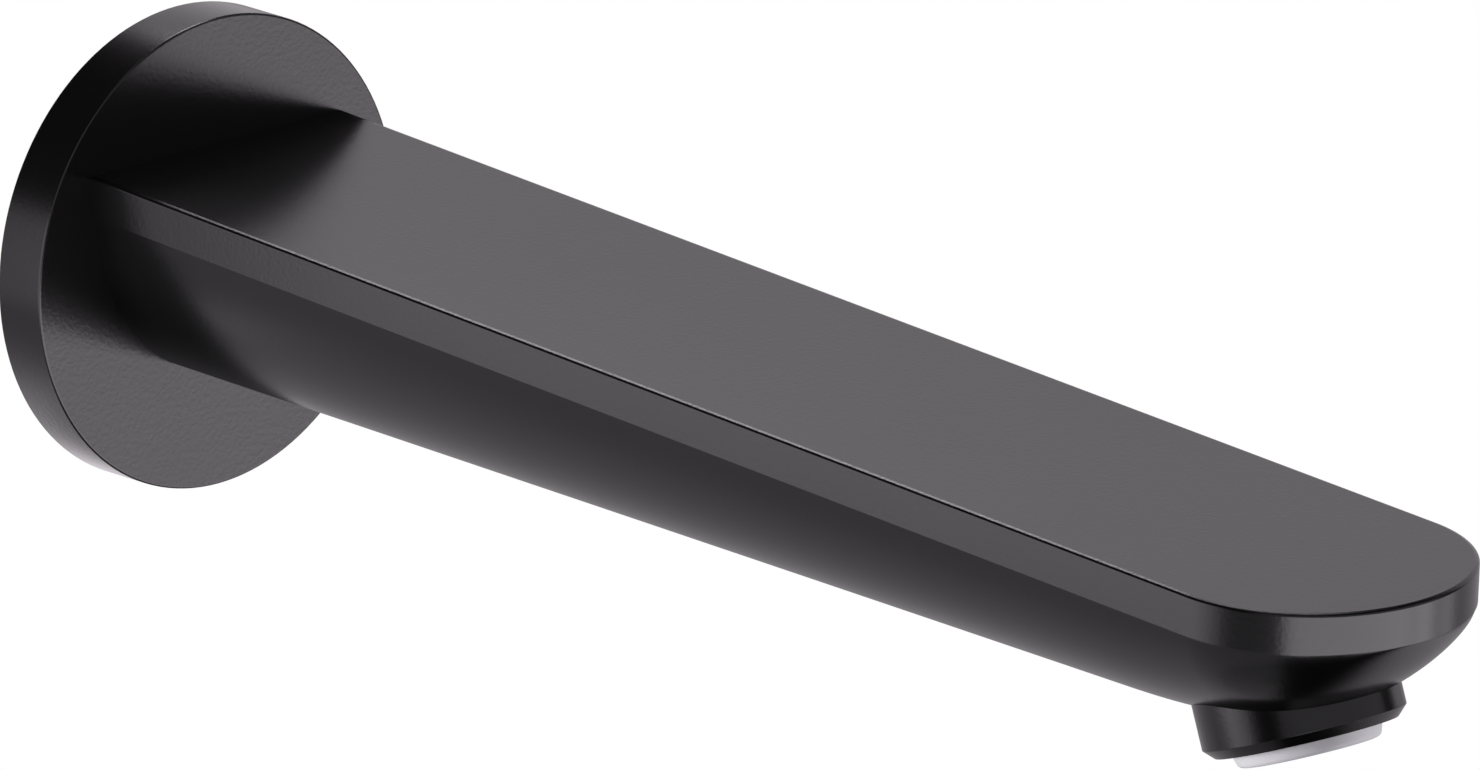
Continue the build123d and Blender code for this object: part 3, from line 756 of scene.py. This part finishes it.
def fade(value, edge):
    """One past the edge, zero before it, with a soft step between them."""
    return put(panel, "ShaderNodeMapRange", {
        "Value": value,
        "From Min": calc(panel, "SUBTRACT", edge, given["Softness"]),
        "From Max": calc(panel, "ADD", edge, given["Softness"]),
    }, interpolation_type="SMOOTHSTEP").outputs[0]


inside = calc(panel, "SUBTRACT", 1.0, fade(sideways, given["Half Width"]))
below = calc(panel, "SUBTRACT", 1.0, fade(height, given["High"]))
lit = calc(panel, "MULTIPLY", inside, calc(panel, "MULTIPLY", below, fade(height, given["Low"])))
lit = calc(panel, "MULTIPLY", lit, given["Level"])
put(panel, "NodeGroupOutput", {0: calc(panel, "MAXIMUM", lit, given["Others"])})

world = bpy.data.worlds.new("studio")
bpy.context.scene.world = world
world.use_nodes = True
tree = world.node_tree
# Azimuth is measured from -X towards -Y: azimuth, half width, low, high, softness, level
DARKNESS = 0.003
SECOND_BOUNCE = 0.3
MATT_LEVEL = 0.85
studio = DARKNESS
for azimuth, half_width, low, high, softness, level in (
    (-150, 40, -8, 34, 6, 0.78),
    (-134, 14, 47, 60, 2, 3.0),
    (-155, 95, -54, -6, 8, 0.46),
    (-36, 25, -21, 12, 3, 0.7),
    (-50, 85, -64, -18, 6, 0.43),
    (-50, 80, -86, -58, 9, 0.3),
    (84, 45, -42, -14, 5, 3.9),
    (137, 9, -38, -14, 5, 3.5),
    (157, 9, -38, -14, 6, 1.8),
    (118, 20, -52, -30, 6, 2.3),
    (85, 65, 1, 40, 4, 0.55),
    (0, 180, 76, 100, 6, 0.8),
):
    soft = tree.nodes.new("ShaderNodeGroup")
    soft.node_tree = panel
    angles = (azimuth, half_width, low, high, softness)
    for socket, value in zip(("Azimuth", "Half Width", "Low", "High", "Softness"), angles):
        soft.inputs[socket].default_value = radians(value)
    soft.inputs["Level"].default_value = level
    if studio == DARKNESS:
        soft.inputs["Others"].default_value = studio
    else:
        tree.links.new(studio, soft.inputs["Others"])
    studio = soft.outputs[0]
rays = tree.nodes.new("ShaderNodeLightPath").outputs
seen = calc(tree, "MAXIMUM", rays["Is Glossy Ray"], rays["Is Transmission Ray"])
once = calc(tree, "LESS_THAN", rays["Glossy Depth"], 1.5)
studio = calc(tree, "MULTIPLY", studio, either(tree, once, SECOND_BOUNCE, 1.0))
level = either(tree, seen, MATT_LEVEL, studio)
level = either(tree, rays["Is Camera Ray"], level, 1.0)
tree.links.new(level, tree.nodes["Background"].inputs["Strength"])
tint = put(tree, "ShaderNodeMix", {
    0: rays["Is Camera Ray"], 6: (1, 0.94, 1, 1), 7: (1, 1, 1, 1)}, data_type="RGBA")
tree.links.new(tint.outputs[2], tree.nodes["Background"].inputs["Color"])


def soft_lamp(name, place, aim, width, height, power):
    """A rectangular soft lamp of this power in watts, unseen by the camera and the gloss."""
    light = bpy.data.lights.new(name, "AREA")
    light.shape = "RECTANGLE"
    light.size = width
    light.size_y = height
    light.energy = power
    lamp = bpy.data.objects.new(name, light)
    way = Vector(aim) - Vector(place)
    lamp.matrix_world = Matrix.Translation(place) @ way.to_track_quat("-Z", "Y").to_matrix().to_4x4()
    lamp.visible_camera = False
    lamp.visible_glossy = False
    bpy.context.scene.collection.objects.link(lamp)


def soft_card(name, place, spans, strength):
    """A glowing card that only the gloss sees. Its spans are its left, right, low and high edge,
    each with the distance over which it fades."""
    (left, left_fade), (right, right_fade), (low, low_fade), (high, high_fade) = spans
    bm = bmesh.new()
    corners = [
        (left - left_fade, low - low_fade), (right + right_fade, low - low_fade),
        (right + right_fade, high + high_fade), (left - left_fade, high + high_fade),
    ]
    bm.faces.new([bm.verts.new((across, up, 0)) for across, up in corners])
    sheet = bpy.data.meshes.new(name)
    bm.to_mesh(sheet)
    bm.free()
    card = bpy.data.objects.new(name, sheet)
    card.matrix_world = place
    bpy.context.scene.collection.objects.link(card)
    glow = bpy.data.materials.new(name + "_glow")
    glow.use_nodes = True
    tree = glow.node_tree
    tree.nodes.remove(tree.nodes["Principled BSDF"])
    where = tree.nodes.new("ShaderNodeTexCoord").outputs["Object"]
    spot = put(tree, "ShaderNodeSeparateXYZ", {0: where})
    shown = 1.0
    for axis, edge, fade_by in (
        ("X", left, left_fade), ("X", right, -right_fade), ("Y", low, low_fade), ("Y", high, -high_fade),
    ):
        ramp = put(tree, "ShaderNodeMapRange", {
            "Value": spot.outputs[axis],
            "From Min": edge - fade_by,
            "From Max": edge + fade_by,
        }, interpolation_type="SMOOTHSTEP")
        shown = calc(tree, "MULTIPLY", ramp.outputs[0], shown)
    light = put(tree, "ShaderNodeEmission", {"Color": (1, 0.94, 1, 1), "Strength": strength})
    clear = tree.nodes.new("ShaderNodeBsdfTransparent").outputs[0]
    both = put(tree, "ShaderNodeMixShader", {0: shown, 1: clear, 2: light.outputs[0]})
    tree.links.new(both.outputs[0], tree.nodes["Material Output"].inputs["Surface"])
    sheet.materials.append(glow)
    card.visible_camera = False
    card.visible_diffuse = False
    card.visible_shadow = False


# A long white card stands to the left, tilted with the deck, for the band along its edge.
CARD_AT = -0.17
side_on = Matrix(((0, 0, 1, 0), (1, 0, 0, 0), (0, 1, 0, 0), (0, 0, 0, 1)))
soft_card(
    "long_card",
    Matrix.Translation((CARD_AT, 0, 0)) @ Matrix.Rotation(DECK_FALL, 4, "X") @ side_on,
    ((-0.171, 0.057), (0.112, 0.008), (-0.0769, 0.008), (0.0493, 0.008)),
    1.97,
)
# A small card behind the flange lights the lower half of its rim.
soft_card(
    "rim_card",
    Matrix.Translation((0, 0.06, 0)) @ wall_frame,
    ((-0.05, 0.03), (0.05, 0.02), (-0.083, 0.008), (-0.04, 0.02)),
    1.5,
)
# A narrow strip beyond the deck shows as a thin bright line along the facet of its edge.
STRIP_DISTANCE = 0.3
toward_wall = Vector((0, cos(DECK_FALL), sin(DECK_FALL)))
to_strip = Vector((0.386, 0.6886, 0.614)).normalized()
strip_width = to_strip.cross(toward_wall).normalized()
strip_axes = Matrix((toward_wall, strip_width, toward_wall.cross(strip_width))).transposed().to_4x4()
strip_middle = deck_frame @ Vector((-HALF_WIDTH, -0.13, 0)) + to_strip * STRIP_DISTANCE
soft_card(
    "edge_strip",
    Matrix.Translation(strip_middle) @ strip_axes,
    ((-0.12, 0.02), (0.085, 0.02), (-0.02, 0.006), (0.02, 0.006)),
    7.0,
)

# A weak key lamp high on the left, and two low fill lamps aimed at the outlet's pale skirt
MIDDLE = (0, MIDDLE_REACH, -0.005)
soft_lamp("key", (-0.7, -0.5, 1.0), MIDDLE, 0.6, 0.6, 6)
soft_lamp("left_fill", (-0.85, 0.28, -0.1), mouth_middle, 0.3, 0.3, 16)
soft_lamp("right_fill", (0.87, -0.7, -0.1), mouth_middle, 0.3, 0.3, 11)

# The camera stands far off with a long lens, as the photograph's does.
AIM = Vector((0.0505, -0.0566, -0.0188))
FOCAL_PIXELS, PICTURE_WIDTH, SENSOR_WIDTH = 29823, 1480, 36
FLANGE_RADII_AWAY, FLANGE_RADIUS = 123.5, 0.0325
back = Vector((-0.6634, -0.6886, 0.2927)).normalized()
right = Vector((0, 0, 1)).cross(back).normalized()
up = back.cross(right)
lens = bpy.data.cameras.new("camera")
lens.sensor_fit = "HORIZONTAL"
lens.sensor_width = SENSOR_WIDTH
lens.lens = FOCAL_PIXELS * SENSOR_WIDTH / PICTURE_WIDTH
lens.clip_end = 20
camera = bpy.data.objects.new("camera", lens)
bpy.context.scene.collection.objects.link(camera)
axes = Matrix((right, up, back)).transposed().to_4x4()
place = AIM + back * FLANGE_RADII_AWAY * FLANGE_RADIUS
camera.matrix_world = Matrix.Translation(place) @ axes
bpy.context.scene.camera = camera
bpy.context.scene.view_settings.view_transform = "Standard"
